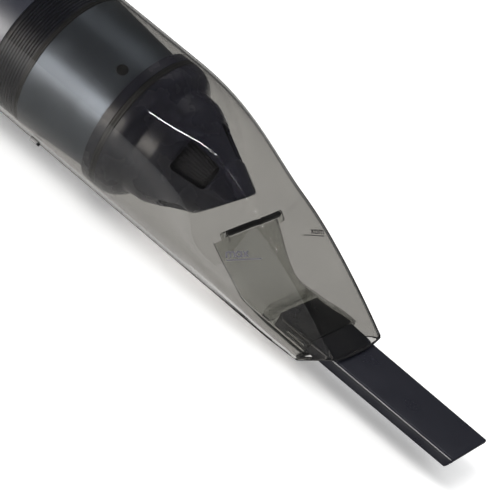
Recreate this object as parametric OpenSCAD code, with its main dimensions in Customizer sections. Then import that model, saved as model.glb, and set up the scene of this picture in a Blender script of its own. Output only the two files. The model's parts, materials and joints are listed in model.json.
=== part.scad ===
// Handheld vacuum cleaner with a clear dust bowl, a flap duct and a crevice tool.
// The barrel axis runs along X towards the nozzle. Z is up, and the bowl lies on Z = 0.
// Stations are distances along the barrel axis from the seal flange of the filter cage.

/* [Dust bowl] */
// Outside diameter of the round rear end of the bowl
bowl_d = 96; // [94:1:98]
// Wall thickness of the bowl
bowl_wall = 2; // [1.6:0.1:2.4]
// Width of the mouth, outside
mouth_w = 55.6; // [54:0.2:58]
// Station of the top edge of the mouth
mouth_top = 182; // [176:1:188]
// Run of the slanted mouth for each unit of its height
mouth_slant = 1.2; // [1:0.05:1.3]
// How far the middle of the mouth stands in front of its corners
mouth_bow = 2.9; // [1:0.1:4]
// Height of the slanted top over the axis, at the flange
deck_rise = 41; // [39:0.5:42]
// Downward slope of the slanted top, at the flange
deck_slope = 0.10; // [0.08:0.01:0.12]
// Growth of that slope, per millimetre
deck_curve = 0.0028; // [0.0026:0.0001:0.0029]

/* [Filter cage] */
// Diameter of the seal flange
flange_d = 90; // [88:0.2:90.4]
// Length of the flange drum in front of the flange plane
drum_len = 17; // [14:1:18]
// Diameter of the straight neck of the cage
neck_d = 71.2; // [68:0.4:72]
// Diameter of the cone where its slanted face crosses the axis
nose_d = 27; // [25.5:0.5:28]
// Station where that face crosses the axis
nose_tip = 73.7; // [72.7:0.5:74.7]
// Lean of that face forward at the top, in degrees
nose_lean = 38; // [35:1:39]
// Number of windows in the cone
windows = 4; // [3:1:5]

/* [Duct and tool] */
// Station of the rear end of the duct, which the flap closes
duct_end = 88; // [86:1:90]
// Downward angle of the rear stretch of the duct, in degrees
duct_angle = 33; // [31:1:34]
// Width of the duct inside at its rear end, where the flap is
duct_rear_w = 56; // [52:1:56]
// Width of the blade of the crevice tool
tool_w = 43; // [41:0.5:43.5]
// Thickness of the blade of the crevice tool
tool_h = 7.6; // [7:0.2:8]
// Station of the tip of the crevice tool
tool_tip = 267; // [255:1:275]

/* [Housing and handle] */
// Station of the rear end of the tail cap
tail_u = -235; // [-240:1:-234]
// Height of the middle of the hand grip over the barrel axis
grip_rise = 86; // [84:1:88]
// Width of the hand grip
grip_w = 26; // [24:1:28]
// Thickness of the hand grip
grip_t = 22; // [20:1:23]

/* [Hidden] */
$fn = 96;

hair = 0.1;
press = 0.02;
running = 0.05;
axis_z = bowl_d / 2;
origin_x = -(tool_tip + tail_u) / 2;

// Radii of the barrel
bowl_r = bowl_d / 2;
bowl_in_r = bowl_r - bowl_wall;
barrel_r = bowl_in_r - 0.7;
flange_r = flange_d / 2;
sleeve_r = flange_r - 4;

// Stations of the barrel
bowl_rear = -80;
collar_front = -56;
collar_rear = -84;
housing_front = -80.5;
housing_rear = -214;
shroud_rear = -96;
motor_front = -98;
motor_rear = -146;
cell_front = -153;
cell_len = 65;

// ---------- Placing ----------

// From stations on the barrel axis to the frame of the part
module place() {
    translate([origin_x, 0, axis_z])
        children();
}

// A body of revolution about the barrel axis, from [station, radius] points
module lathe(points, turn = 360) {
    rotate([0, 90, 0])
        rotate_extrude(angle = turn)
            polygon([for (p = points) [p[1], p[0]]]);
}

// A cylinder along the barrel axis
module rod(from, to, r, fn = 96) {
    translate([from, 0, 0])
        rotate([0, 90, 0])
            cylinder(r = r, h = to - from, $fn = fn);
}

// A ring along the barrel axis
module ring(from, to, r_in, r_out) {
    lathe([[from, r_in], [to, r_in], [to, r_out], [from, r_out]]);
}

// A box from its lowest corner to its highest corner
module block(low, high) {
    translate(low)
        cube(high - low);
}

// Copies turned about the barrel axis
module around(count, start = 0) {
    for (i = [0 : count - 1])
        rotate([start + i * 360 / count, 0, 0])
            children();
}

// ---------- Shape of the dust bowl ----------

// Smooth step from 0 to 1 between two stations
function ease(a, b, u) =
    let (t = max(0, min(1, (u - a) / (b - a))))
    t * t * (3 - 2 * t);

// Height of the slanted top over the axis
function deck_z(u) = deck_rise - deck_slope * max(u, 0) - deck_curve / 2 * pow(max(u, 0), 2);

// Half width of the slanted top between its two ridges
function deck_half(u) = 22 + (mouth_w / 2 - 22) * ease(40, 125, u);

// Half width of the bowl low on its sides
function side_half(u) = 47 + (mouth_w / 2 - 47) * max(0, min(1, u / 160));

// Height of the middle of a section
function mid_z(u) = (deck_z(u) - bowl_r) / 2;

// Rise of the floor of the bowl close to the mouth
lift_start = 135;
lift_run = 100;
function floor_lift(u) = pow(max(u - lift_start, 0), 2) / lift_run;

// Distance from the middle of a section to the round trough, in a direction
function trough_r(u, a) =
    let (
        c = mid_z(u) * sin(a),
        r = bowl_r - floor_lift(u) * pow(min(sin(a), 0), 2)
    )
    -c + sqrt(c * c - pow(mid_z(u), 2) + r * r);

// Distance to the slanted top
function deck_r(u, a) = sin(a) > 0.02 ? (deck_z(u) - mid_z(u)) / sin(a) : 1000;

// Distance to a side wall, which runs from low on the side up to the ridge
function side_r(u, a) =
    let (
        low = -12 + min(0, mid_z(u) + 12),
        rise = deck_z(u) - low,
        lean = side_half(u) - deck_half(u),
        size = norm([rise, lean]),
        reach = (side_half(u) * rise + (low - mid_z(u)) * lean) / size,
        toward = (abs(cos(a)) * rise + sin(a) * lean) / size
    )
    toward > 0.02 ? reach / toward : 1000;

// Distance to the wall: a circle at the rear, a flat-topped section at the front
function bowl_reach(u, a) =
    let (
        p = 12 + 16 * ease(30, 120, u),
        t = ease(2, 96, u),
        flat = pow(pow(trough_r(u, a), -p) + pow(deck_r(u, a), -p) + pow(side_r(u, a), -p), -1 / p)
    )
    (1 - t) * trough_r(u, a) + t * flat;

// Station where the wall meets the slanted, bowed mouth, in a direction
function mouth_u(a, inset, u = 165, steps = 14) =
    steps == 0 ? u :
    let (r = bowl_reach(u, a) - inset)
    mouth_u(a, inset, mouth_top - mouth_bow * pow(r * cos(a) / (mouth_w / 2), 2)
        + mouth_slant * (mid_z(u) + r * sin(a) - deck_z(mouth_top)), steps - 1);

// A point of the wall; t runs from 0 at the rear to 1 at the mouth
function bowl_point(t, a, inset) =
    let (
        u = bowl_rear + (mouth_u(a, inset) - bowl_rear) * t,
        r = bowl_reach(u, a) - inset
    )
    [u, r * cos(a), mid_z(u) + r * sin(a)];

// ---------- Bowl body ----------

bowl_rings = 30;
low_steps = 8;
side_steps = 12;
deck_steps = 10;
half_sides = low_steps + side_steps + deck_steps;
bowl_sides = 2 * half_sides;

// Direction of the lower corner of a section, where the trough meets a side wall
function corner_a(u) =
    let (w = min(side_half(u), bowl_r - 1))
    atan2(-sqrt(bowl_r * bowl_r - w * w) - mid_z(u), w);

// Direction of the ridge of a section, where a side wall meets the slanted top
function ridge_a(u) = atan2(deck_z(u) - mid_z(u), deck_half(u));

// Direction of a side of the section, counted from the bottom, with one on each corner and ridge
function half_a(u, j) =
    j <= low_steps ? -90 + (corner_a(u) + 90) * j / low_steps :
    j <= low_steps + side_steps ?
        corner_a(u) + (ridge_a(u) - corner_a(u)) * (j - low_steps) / side_steps :
    ridge_a(u) + (90 - ridge_a(u)) * (j - low_steps - side_steps) / deck_steps;

function wall_a(u, j) = j <= half_sides ? half_a(u, j) : 180 - half_a(u, bowl_sides - j);

// One ring of points of the wall; t runs from 0 at the rear to 1 at the mouth
function bowl_ring(t, inset) =
    let (along = bowl_rear + (mouth_top - bowl_rear) * t)
    [for (j = [0 : bowl_sides - 1]) bowl_point(t, wall_a(along, j), inset)];

module bowl_shell() {
    outer = [for (i = [0 : bowl_rings]) each bowl_ring(i / bowl_rings, 0)];
    inner = [for (i = [0 : bowl_rings]) each bowl_ring(i / bowl_rings, bowl_wall)];
    half = len(outer);
    last = bowl_rings * bowl_sides;
    polyhedron(
        points = concat(outer, inner),
        faces = concat(
            [for (i = [0 : bowl_rings - 1]) for (j = [0 : bowl_sides - 1])
                let (a = i * bowl_sides + j, b = i * bowl_sides + (j + 1) % bowl_sides)
                [a, a + bowl_sides, b + bowl_sides, b]],
            [for (i = [0 : bowl_rings - 1]) for (j = [0 : bowl_sides - 1])
                let (a = half + i * bowl_sides + j, b = half + i * bowl_sides + (j + 1) % bowl_sides)
                [a, b, b + bowl_sides, a + bowl_sides]],
            [for (j = [0 : bowl_sides - 1])
                let (k = (j + 1) % bowl_sides)
                [j, k, half + k, half + j]],
            [for (j = [0 : bowl_sides - 1])
                let (k = (j + 1) % bowl_sides)
                [last + k, last + j, half + last + j, half + last + k]]
        )
    );
}

module dust_bowl() {
    place() color([0.72, 0.72, 0.70, 0.45]) difference() {
        bowl_shell();
        // Window for the nose of the release catch
        block([-78, -4.5, 40], [-70, 4.5, 50]);
        // Slots for the two lugs
        for (side = [-1, 1])
            rotate([30 * side, 0, 0])
                block([-47, -2.5, -52], [-41, 2.5, -42]);
    }
}

module bowl_lugs() {
    place() color([0.12, 0.12, 0.13]) for (side = [-1, 1])
        rotate([30 * side, 0, 0])
            block([-47 + hair, -2.4, -bowl_r - 1.4], [-41 - hair, 2.4, -bowl_in_r - 0.1]);
}

// The rubber edge on the rim at the top of the mouth
module mouth_lip() {
    toward = [0.64, 0, -0.768];
    place() color([0.08, 0.08, 0.09])
        sweep([for (j = [low_steps + side_steps + 1 : bowl_sides - low_steps - side_steps - 1])
            let (
                a = wall_a(mouth_top, j),
                outer = bowl_point(1, a, 0),
                inner = bowl_point(1, a, bowl_wall)
            )
            [outer + 0.12 * toward, outer + 1.1 * toward, inner + 1.1 * toward, inner + 0.12 * toward]]);
}

// ---------- Duct, flap and tool ----------

tool_mid = -29.9;
tool_rear = 136;
duct_wall = 1.2;
duct_in_w = 43.5 + 2 * 0.2;
duct_in_h = 8.2;
duct_front = 163;
duct_end_z = -11;
duct_bend = duct_end + (duct_end_z - tool_mid) / tan(duct_angle);
flap_w = duct_rear_w - 0.5;
flap_t = 2;
pin_r = 1.1;
pin_back = 2.2;
pin_up = duct_in_h / 2 + 1.7;

// Side outline of the duct, grown by t above and below, and by e at its two ends
function duct_outline(t, e) =
    let (
        d = duct_in_h / 2 + t,
        m = d * tan(duct_angle / 2),
        c = cos(duct_angle),
        s = sin(duct_angle)
    )
    [
        [duct_front + e, tool_mid - d],
        [duct_bend - m, tool_mid - d],
        [duct_end - e * c - d * s, duct_end_z + e * s - d * c],
        [duct_end - e * c + d * s, duct_end_z + e * s + d * c],
        [duct_bend + m, tool_mid + d],
        [duct_front + e, tool_mid + d]
    ];

// Outline of the duct from above, grown by t; it widens from the bend to the rear end
function duct_plan(t) =
    let (
        front = duct_in_w / 2 + t,
        widen = (duct_rear_w - duct_in_w) / 2,
        past = duct_end - 12,
        rear = front + widen * (duct_bend - past) / (duct_bend - duct_end)
    )
    [[200, -front], [duct_bend, -front], [past, -rear], [past, rear], [duct_bend, front], [200, front]];

module duct_solid(t, e) {
    intersection() {
        translate([0, duct_rear_w / 2 + t, 0])
            rotate([90, 0, 0])
                linear_extrude(height = duct_rear_w + 2 * t)
                    polygon(duct_outline(t, e));
        translate([0, 0, -60])
            linear_extrude(height = 100)
                polygon(duct_plan(t));
    }
}

// From the middle of the duct's rear end, with x along the duct and z across its height
module at_flap() {
    translate([duct_end, 0, duct_end_z])
        rotate([0, duct_angle, 0])
            children();
}

module flap_axle(r, length) {
    at_flap()
        translate([-pin_back, length / 2, pin_up])
            rotate([90, 0, 0])
                cylinder(r = r, h = length, $fn = 48);
}

module inlet_duct() {
    half = duct_in_w / 2;
    ear = duct_rear_w / 2 - 0.1;
    place() color([0.66, 0.66, 0.65, 0.6]) difference() {
        union() {
            difference() {
                duct_solid(duct_wall, 0);
                duct_solid(0, 1);
            }
            // Ledge that stops the tool
            difference() {
                block([tool_rear - 6, -half - 0.1, tool_mid - duct_in_h / 2 - 0.1],
                      [tool_rear - 0.6, half + 0.1, tool_mid + duct_in_h / 2 + 0.1]);
                block([tool_rear - 7, -half + 1.8, tool_mid - duct_in_h / 2 + 1.6],
                      [tool_rear, half - 1.8, tool_mid + duct_in_h / 2 - 1.6]);
            }
            // Ears that hold the flap pin
            at_flap()
                for (side = [-1, 1])
                    translate([-pin_back - 1.8, side > 0 ? ear : -ear - 1.3, duct_in_h / 2 - 1.5])
                        cube([pin_back + 5, 1.3, 5]);
            // Wings that meet the side walls of the bowl
            for (side = [-1, 1])
                block([148, side > 0 ? half + 1 : -half - 3.1, tool_mid - 1],
                      [161, side > 0 ? half + 3.1 : -half - 1, tool_mid + 1]);
        }
        flap_axle(pin_r + press, 60);
    }
}

module flap_pin() {
    place() color([0.75, 0.75, 0.77])
        flap_axle(pin_r, duct_rear_w + 2);
}

module flap() {
    place() color([0.05, 0.05, 0.06]) difference() {
        union() {
            at_flap() {
                block([-0.4 - flap_t, -flap_w / 2, -duct_in_h / 2 - 1], [-0.4, flap_w / 2, pin_up]);
                // Tab that stiffens the middle
                block([-4.6, -3.5, -2], [-0.5 - flap_t, 3.5, pin_up]);
            }
            flap_axle(pin_back - 0.4, flap_w);
        }
        flap_axle(pin_r + running, 60);
    }
}

// The tool is hollow from its rear end to its slanted tip
module crevice_tool() {
    wall = 1.6;
    taper = 1.1;
    place() color([0.14, 0.15, 0.18]) difference() {
        intersection() {
            block([tool_rear, -tool_w / 2, tool_mid - tool_h / 2],
                  [tool_tip, tool_w / 2, tool_mid + tool_h / 2]);
            translate([0, 0, -60])
                linear_extrude(height = 60)
                    polygon([[tool_rear, -tool_w / 2], [tool_tip, -tool_w / 2 + taper],
                             [tool_tip, tool_w / 2 - taper], [tool_rear, tool_w / 2]]);
        }
        block([tool_rear - 1, -tool_w / 2 + wall + taper, tool_mid - tool_h / 2 + wall],
              [tool_tip + 1, tool_w / 2 - wall - taper, tool_mid + tool_h / 2 - wall]);
        // The tip is cut back on its underside
        translate([tool_tip, 0, tool_mid - tool_h / 2])
            rotate([0, -45, 0])
                block([-3.4, -30, -20], [30, 30, 3]);
    }
}

// ---------- Filter cage ----------

cage_wall = 2;
cone_start = drum_len + 12;
cone_r = neck_d / 2 - 1.4;
cone_end = nose_tip + 14;
cone_slope = (cone_r - nose_d / 2) / (nose_tip - cone_start - 2);
face_wall = 2.5;

// The body of the cage, shrunk by t, with its slanted face moved back by e
module cage_solid(t, e) {
    difference() {
        lathe([
            [-4 - e, 0],
            [-4 - e, flange_r - t],
            [drum_len - 11, flange_r - t],
            [drum_len - 7.5, flange_r - 0.7 - t],
            [drum_len - 4.5, flange_r - 2.4 - t],
            [drum_len - 2 - t / 2, flange_r - 4.8 - t],
            [drum_len - t / 2, flange_r - 7.4 - t],
            [drum_len + 1.6 - t / 2, neck_d / 2 + 0.7 - t],
            [drum_len + 3.4 - t / 2, neck_d / 2 - t],
            [cone_start - 2 - t / 2, neck_d / 2 - 0.4 - t],
            [cone_start + 2, cone_r - t],
            [cone_end, nose_d / 2 - (cone_end - nose_tip) * cone_slope - t],
            [cone_end, 0]
        ]);
        translate([nose_tip - e, 0, 0])
            rotate([0, nose_lean, 0])
                block([0, -60, -60], [60, 60, 60]);
    }
}

module filter_cage() {
    place() color([0.10, 0.11, 0.16]) difference() {
        cage_solid(0, 0);
        cage_solid(cage_wall, face_wall);
        // Windows in the cone
        around(windows, 60)
            translate([cone_start + 9, -10.5, 10])
                cube([19, 21, 40]);
        // Groove for the seal
        ring(2, 6, flange_r - 1.2, flange_r + 1);
    }
}

module filter_sleeve() {
    r = neck_d / 2 - 4.2;
    t = 1.5;
    place() color([0.20, 0.20, 0.23])
        lathe([
            [0, r], [cone_start - 4, r], [cone_start + 28, r - 15.9],
            [cone_start + 31, r - 22.4], [cone_start + 31, r - 22.4 - t],
            [cone_start + 27, r - 15.9 - t], [cone_start - 4.6, r - t], [0, r - t]
        ]);
}

module cage_seal() {
    place() color([0.05, 0.05, 0.05])
        ring(2 + hair, 6 - hair, flange_r - 1.1, flange_r + 0.2);
}

// ---------- Barrel between the bowl and the motor ----------

stud_r = 3.5;
stud_u = -14.5;

module snout_sleeve() {
    place() color([0.42, 0.44, 0.48]) difference() {
        lathe([
            [collar_front, barrel_r], [-6, sleeve_r], [-4.4, sleeve_r - 0.6], [5, sleeve_r - 0.8],
            [5, sleeve_r - 2.6], [-6, sleeve_r - 2.6], [collar_front, barrel_r - 2.2]
        ]);
        bayonet_bores(stud_r + 0.05);
    }
}

module bayonet_bores(r) {
    around(3, 39)
        translate([stud_u, 0, sleeve_r - 4])
            cylinder(r = r, h = 8, $fn = 48);
}

module bayonet_studs() {
    place() color([0.10, 0.10, 0.12]) around(3, 39)
        translate([stud_u, 0, sleeve_r - 2.4])
            cylinder(r = stud_r, h = 3.4, $fn = 48);
}

rib_pitch = 1.9;
rib_count = 10;

module ribbed_collar() {
    place() color([0.09, 0.09, 0.16]) difference() {
        ring(collar_rear, collar_front, barrel_r - 3.3, barrel_r);
        // Fine grooves round the front of the collar
        for (i = [0 : rib_count - 1])
            ring(collar_front - 5 - i * rib_pitch, collar_front - 4.1 - i * rib_pitch,
                 barrel_r - 0.8, barrel_r + 1);
        // Seat of the seal
        ring(collar_front - 3, collar_front + 1, barrel_r - 1.8, barrel_r + 1);
        // Channel for the arm of the release catch
        block([collar_rear - 1, -5.2, barrel_r - 5], [collar_front - 13, 5.2, barrel_r + 2]);
    }
}

module collar_seal() {
    place() color([0.05, 0.05, 0.05])
        ring(collar_front - 3 + hair, collar_front - hair, barrel_r - 1.7, barrel_r + 0.25);
}

module front_plate() {
    place() color([0.25, 0.25, 0.27]) difference() {
        rod(-66, -63, barrel_r - 3.4);
        around(6)
            translate([-70, 0, 25])
                rotate([0, 90, 0])
                    cylinder(r = 8, h = 12, $fn = 48);
        rod(-67, -62, 4, 48);
    }
}

// ---------- Motor and fan ----------

shaft_r = 2.5;
motor_r = 20;
shroud_r = 37;
bearing_r = 6;

module fan_shroud() {
    place() color([0.86, 0.85, 0.80]) difference() {
        rod(shroud_rear, -68, shroud_r);
        rod(shroud_rear + 2, -67, shroud_r - 1.6);
        rod(shroud_rear - 1, -67, motor_r + 0.2);
        around(8)
            block([shroud_rear - 1, -4, shroud_r - 9], [shroud_rear + 3, 4, shroud_r - 4]);
    }
}

module impeller() {
    blades = 9;
    place() color([0.15, 0.15, 0.16]) difference() {
        union() {
            rod(-90, -88.4, 33);
            rod(-90, -76, 7, 48);
            around(blades)
                translate([0, 5, 0])
                    block([-88.6, -0.7, 8], [-78, 0.7, 31]);
            ring(-78.2, -77, 14, 33);
        }
        rod(-91, -70, shaft_r + press, 48);
    }
}

module impeller_nut() {
    place() color([0.72, 0.70, 0.60]) difference() {
        rod(-75.9, -72.5, 4.2, 6);
        rod(-77, -70, shaft_r + press, 48);
    }
}

module rotor_shaft() {
    place() color([0.75, 0.76, 0.78])
        rod(motor_rear - 3.2, -71, shaft_r, 48);
}

module armature() {
    slots = 12;
    place() color([0.62, 0.35, 0.18]) difference() {
        union() {
            rod(-136, -108, 12);
            rod(-139, -105, 9.6, 64);
        }
        around(slots)
            block([-137, -0.8, 9.8], [-107, 0.8, 13]);
        rod(-142, -100, shaft_r + press, 48);
    }
}

module commutator() {
    bars = 12;
    place() color([0.80, 0.48, 0.25]) difference() {
        rod(-143.5, -139.5, 5, 64);
        around(bars)
            block([-144, -0.15, 4.5], [-139, 0.15, 6]);
        rod(-145, -138, shaft_r + press, 48);
    }
}

module motor_can() {
    place() color([0.70, 0.71, 0.73]) difference() {
        union() {
            rod(motor_rear, motor_front, motor_r);
            rod(motor_rear - 3.4, motor_rear, bearing_r + 2, 64);
        }
        rod(motor_rear + 1.6, motor_front + 1, motor_r - 1.6);
        rod(motor_rear - 2.6, motor_rear + 2, bearing_r, 64);
        rod(motor_rear - 6, motor_rear + 2, shaft_r + 0.6, 48);
    }
}

module motor_end_bell() {
    place() color([0.20, 0.20, 0.22]) difference() {
        rod(motor_front + hair, motor_front + 4, motor_r - 0.2);
        rod(motor_front + 0.8, motor_front + 5, bearing_r, 64);
        rod(motor_front - 1, motor_front + 5, shaft_r + 0.6, 48);
        around(4, 45)
            block([motor_front - 1, -3, 9], [motor_front + 5, 3, 16]);
    }
}

module magnets() {
    place() color([0.25, 0.25, 0.27]) intersection() {
        ring(-138, -104, 13.2, motor_r - 1.7);
        union() {
            block([-140, 3, -25], [-100, 25, 25]);
            block([-140, -25, -25], [-100, -3, 25]);
        }
    }
}

module brushes() {
    place() color([0.30, 0.28, 0.26]) for (side = [-1, 1])
        translate([-143, -1.6, 0])
            mirror([0, 0, side < 0 ? 1 : 0])
                translate([0, 0, 5.2])
                    cube([3, 3.2, 10]);
}

module bearings() {
    place() color([0.80, 0.80, 0.82]) {
        ring(motor_front + 0.9, motor_front + 3.9, shaft_r + running, bearing_r - press);
        ring(motor_rear - 2.5, motor_rear + 0.5, shaft_r + running, bearing_r - press);
    }
}

// Soft ring that carries the motor in the housing
module motor_mount() {
    place() color([0.10, 0.10, 0.11]) difference() {
        rod(-126, -118, motor_r + 5);
        rod(-127, -117, motor_r + 0.05);
        around(8)
            translate([-127, 0, motor_r + 2.6])
                rotate([0, 90, 0])
                    cylinder(r = 1.4, h = 10, $fn = 32);
    }
}

// ---------- Battery and electronics ----------

cell_r = 9.1;
cell_gap = 9.7;
cell_rear = cell_front - cell_len;

module battery_cells() {
    place() color([0.20, 0.45, 0.35]) for (y = [-cell_gap, cell_gap], z = [-cell_gap, cell_gap])
        translate([0, y, z]) {
            rod(cell_rear, cell_front - 1, cell_r, 64);
            rod(cell_front - 1, cell_front, 3, 32);
        }
}

module cell_links() {
    place() color([0.80, 0.80, 0.78]) {
        for (y = [-cell_gap, cell_gap])
            block([cell_front + hair, y - 3, -cell_gap - 3], [cell_front + 0.4, y + 3, cell_gap + 3]);
        for (z = [-cell_gap, cell_gap])
            block([cell_rear - 0.4, -cell_gap - 3, z - 3], [cell_rear - hair, cell_gap + 3, z + 3]);
    }
}

module battery_tray() {
    half = cell_gap + cell_r + 1.6;
    place() color([0.16, 0.16, 0.17]) difference() {
        union() {
            block([cell_rear - 2.6, -half, -half], [cell_rear - 0.6, half, half]);
            block([cell_front + 0.6, -half, -half], [cell_front + 2.4, half, half]);
            block([cell_rear - 1, -half, -half], [cell_front + 1, half, -cell_gap]);
        }
        for (y = [-cell_gap, cell_gap])
            translate([0, y, -cell_gap])
                rod(cell_rear - 0.5, cell_front + 0.5, cell_r + hair, 64);
        block([cell_rear - 0.5, -cell_gap, -cell_gap - 6], [cell_front + 0.5, cell_gap, 0]);
    }
}

module circuit_board() {
    place() color([0.05, 0.30, 0.15]) union() {
        block([-212, -14, 24], [-160, 14, 25.6]);
        block([-206, -9, 25.6], [-196, 1, 28]);
        block([-190, -2, 25.6], [-183, 8, 27.4]);
        for (i = [0 : 3])
            block([-176 + 4 * i, -8, 25.6], [-174 + 4 * i, -4, 26.8]);
    }
}

// ---------- Housing ----------

housing_wall = 2.2;

// Outline of the barrel housing and tail, grown by t
function housing_outline(t) = [
    [housing_front, bowl_r - 0.4 + t], [housing_front - 2, bowl_r + t], [-130, bowl_r + t],
    [-148, 47.2 + t], [-165, 45.4 + t], [-182, 42.8 + t], [-198, 39.8 + t], [housing_rear, 36 + t]
];

// Outline of the tail cap, grown by t
function tail_outline(t) = [
    [housing_rear, 36 + t], [housing_rear - 6, 33.8 + t], [housing_rear - 12, 30.4 + t],
    [housing_rear - 17, 25.6 + t], [tail_u + 1.4, 20.4 + t], [tail_u, 15]
];

// The whole rear body as one solid, for trimming what stands on it
module rear_solid(t) {
    lathe(concat([[housing_front, 0]], housing_outline(t), tail_outline(t), [[tail_u, 0]]));
}

screw_spots = [[-104, -30], [-206, -25]];
handle_screws = [[-115, 60], [-211, 60]];

module housing_shell() {
    back = [for (i = [7 : -1 : 0]) housing_outline(-housing_wall)[i]];
    lathe(concat(housing_outline(0), back), 180);
}

// Cuts that both halves of the housing share
module housing_cuts() {
    // Opening of the release button
    block([-97.3, -8.3, 38], [-85.7, 8.3, 60]);
    // Windows of the exhaust grilles
    for (side = [-1, 1])
        block([-142, side > 0 ? 20 : -60, -12], [-106, side > 0 ? 60 : -20, 12]);
    // Channel for the arm of the release catch
    block([-86, -5.2, 38], [-78, 5.2, barrel_r + 0.4]);
}

module screw_bosses(from, to) {
    for (s = screw_spots)
        translate([s[0], 0, s[1]])
            rotate([-90, 0, 0])
                translate([0, 0, from])
                    difference() {
                        cylinder(r = 4, h = to - from, $fn = 48);
                        translate([0, 0, -1])
                            cylinder(r = 1.55, h = to - from + 2, $fn = 48);
                    }
}

module housing_left() {
    place() color([0.11, 0.12, 0.17]) {
        difference() {
            housing_shell();
            housing_cuts();
        }
        screw_bosses(0.05, 26);
    }
}

module housing_right() {
    place() color([0.11, 0.12, 0.17]) {
        difference() {
            mirror([0, 1, 0])
                housing_shell();
            housing_cuts();
            screw_wells();
        }
        intersection() {
            screw_bosses(-26, -0.05);
            rear_solid(-1);
        }
    }
}

// Counterbores and bores of the case screws
module screw_wells() {
    for (s = screw_spots)
        translate([s[0], -26, s[1]])
            rotate([90, 0, 0])
                cylinder(r = 4, h = 30, $fn = 48);
    for (s = screw_spots)
        translate([s[0], 0, s[1]])
            rotate([90, 0, 0])
                cylinder(r = 1.55, h = 60, $fn = 48);
}

module exhaust_grilles() {
    place() color([0.07, 0.07, 0.09]) for (side = [0, 1])
        mirror([0, side, 0])
            difference() {
                intersection() {
                    lathe(concat([for (p = housing_outline(-0.4)) p],
                                 [for (i = [7 : -1 : 0]) housing_outline(-housing_wall)[i]]), 180);
                    block([-142 + hair, 20, -12 + hair], [-106 - hair, 60, 12 - hair]);
                }
                for (i = [0 : 6])
                    block([-139 + i * 4.7, 20, -9], [-136.4 + i * 4.7, 60, 9]);
            }
}

module tail_cap() {
    outer = tail_outline(0);
    inner = tail_outline(-2.4);
    place() color([0.11, 0.12, 0.17])
        lathe(concat(
            [[housing_rear - hair, 36]], [for (i = [1 : 5]) outer[i]],
            [[tail_u, 5.2], [tail_u + 3, 5.2], [tail_u + 3, 14]],
            [for (i = [3 : -1 : 1]) [inner[i][0] + 1.4, inner[i][1]]],
            [[housing_rear - hair, 33.6]]
        ));
}

module charge_socket() {
    place() color([0.06, 0.06, 0.07]) difference() {
        union() {
            rod(tail_u + 0.6, tail_u + 9, 5.1, 64);
            rod(tail_u + 3.1, tail_u + 4.6, 7.5, 64);
        }
        rod(tail_u - 1, tail_u + 7.5, 2.85, 64);
    }
}

module rubber_feet() {
    place() color([0.06, 0.06, 0.06]) for (y = [-17, 17])
        difference() {
            translate([-172, y, -bowl_r])
                cylinder(r = 7, h = 16, $fn = 64);
            rear_solid(0.05);
        }
}

// ---------- Handle ----------

post_front = -115;
post_rear = -211;
bend_r = 21;
grip_sides = 40;
pad_grow = 1.6;

// A power that keeps the sign
function signed_pow(x, p) = sign(x) * pow(abs(x), p);

// Section of the grip between two directions: [outward in the plane of the handle, sideways]
function grip_arc(from, to, grow) = [
    for (i = [0 : grip_sides / 2])
        let (a = from + (to - from) * i / (grip_sides / 2))
        [(grip_t / 2 + grow) * signed_pow(cos(a), 0.85), (grip_w / 2 + grow) * signed_pow(sin(a), 0.85)]
];

// A straight run along X with the section's outward side up
module grip_run(from, to, section) {
    translate([from, 0, grip_rise])
        rotate([90, 0, 90])
            linear_extrude(height = to - from)
                polygon([for (p = section) [p[1], p[0]]]);
}

// A straight post with the section's outward side towards +X, from height a to height b
module grip_post(u, a, b, section) {
    translate([u, 0, a])
        linear_extrude(height = b - a)
            polygon(section);
}

// A quarter bend from a post at the front up to the top run
module grip_bend(section) {
    translate([post_front - bend_r, 0, grip_rise - bend_r])
        rotate([90, 0, 0])
            rotate_extrude(angle = 90)
                polygon([for (p = section) [bend_r + p[0], -p[1]]]);
}

// What stands at the front is repeated at the rear, turned about the middle of the handle
module front_and_rear() {
    children();
    translate([post_front + post_rear, 0, 0])
        mirror([1, 0, 0])
            children();
}

// Left half of the arch as a solid
module arch_half() {
    section = grip_arc(0, 180, 0);
    grip_run(post_rear + bend_r, post_front - bend_r, section);
    front_and_rear() {
        grip_bend(section);
        grip_post(post_front, 20, grip_rise - bend_r, section);
    }
}

module handle_cuts() {
    // Pocket of the slide switch
    block([-158.5, -6.3, grip_rise + grip_t / 2 - 4.6], [-137, 6.3, grip_rise + 20]);
    // Chamber of the switch block
    block([-159, -5, grip_rise - 5], [-136.5, 5, grip_rise + grip_t / 2 - 4.5]);
    // Bore of the indicator lens
    translate([-172, 0, grip_rise])
        cylinder(r = 2.5, h = 30, $fn = 48);
}

module handle_half() {
    difference() {
        translate([0, 0.05, 0])
            arch_half();
        rear_solid(0.1);
        handle_cuts();
        for (s = handle_screws)
            translate([s[0], -1, s[1]])
                rotate([-90, 0, 0])
                    cylinder(r = 1.55, h = 10, $fn = 48);
    }
}

module handle_left() {
    place() color([0.11, 0.12, 0.17])
        handle_half();
}

module handle_right() {
    place() color([0.11, 0.12, 0.17]) difference() {
        mirror([0, 1, 0])
            handle_half();
        for (s = handle_screws)
            translate([s[0], 0, s[1]])
                rotate([90, 0, 0]) {
                    translate([0, 0, -1])
                        cylinder(r = 1.55, h = 30, $fn = 48);
                    translate([0, 0, 9])
                        cylinder(r = 3.4, h = 30, $fn = 48);
                }
    }
}

// Soft pad under the fingers
module grip_pad() {
    section = concat(grip_arc(120, 240, pad_grow),
                     [for (i = [grip_sides / 2 : -1 : 0]) grip_arc(120, 240, 0.05)[i]]);
    place() color([0.07, 0.07, 0.08]) {
        grip_run(post_rear + bend_r, post_front - bend_r, section);
        front_and_rear()
            grip_bend(section);
    }
}

switch_u = -158;

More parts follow.
